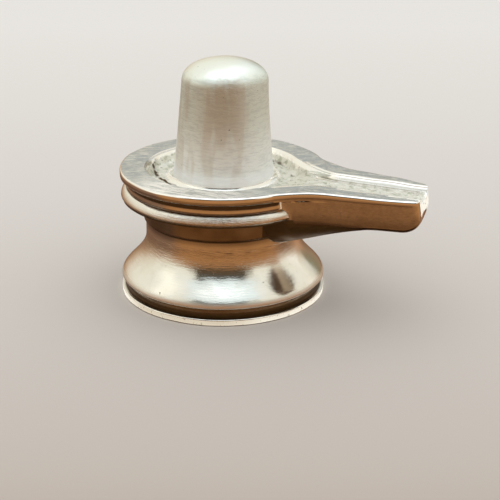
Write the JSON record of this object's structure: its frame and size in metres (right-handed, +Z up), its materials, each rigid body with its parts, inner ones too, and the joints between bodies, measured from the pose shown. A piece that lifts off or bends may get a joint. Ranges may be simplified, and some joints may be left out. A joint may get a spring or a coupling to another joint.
{
  "type": "shiva lingam",
  "caption": "Small solid cast metal shiva lingam: tapered shaft with flattened dome in a round moulded yoni plate with dish and open spout, on a necked bell-shaped foot",
  "frame": {"origin": "centre of the flat underside, on the axis of the foot", "axes": "+Z up along the axis of the foot and the lingam, +X along the spout towards its open end"},
  "size_m": [0.061, 0.04, 0.0465],
  "materials": {
    "white_metal": "cast white metal, filed and lightly polished to a satin with fine scratches, darker in the hollows"
  },
  "bodies": {
    "root": {"shiva_lingam": "white_metal"}
  },
  "joints": []
}
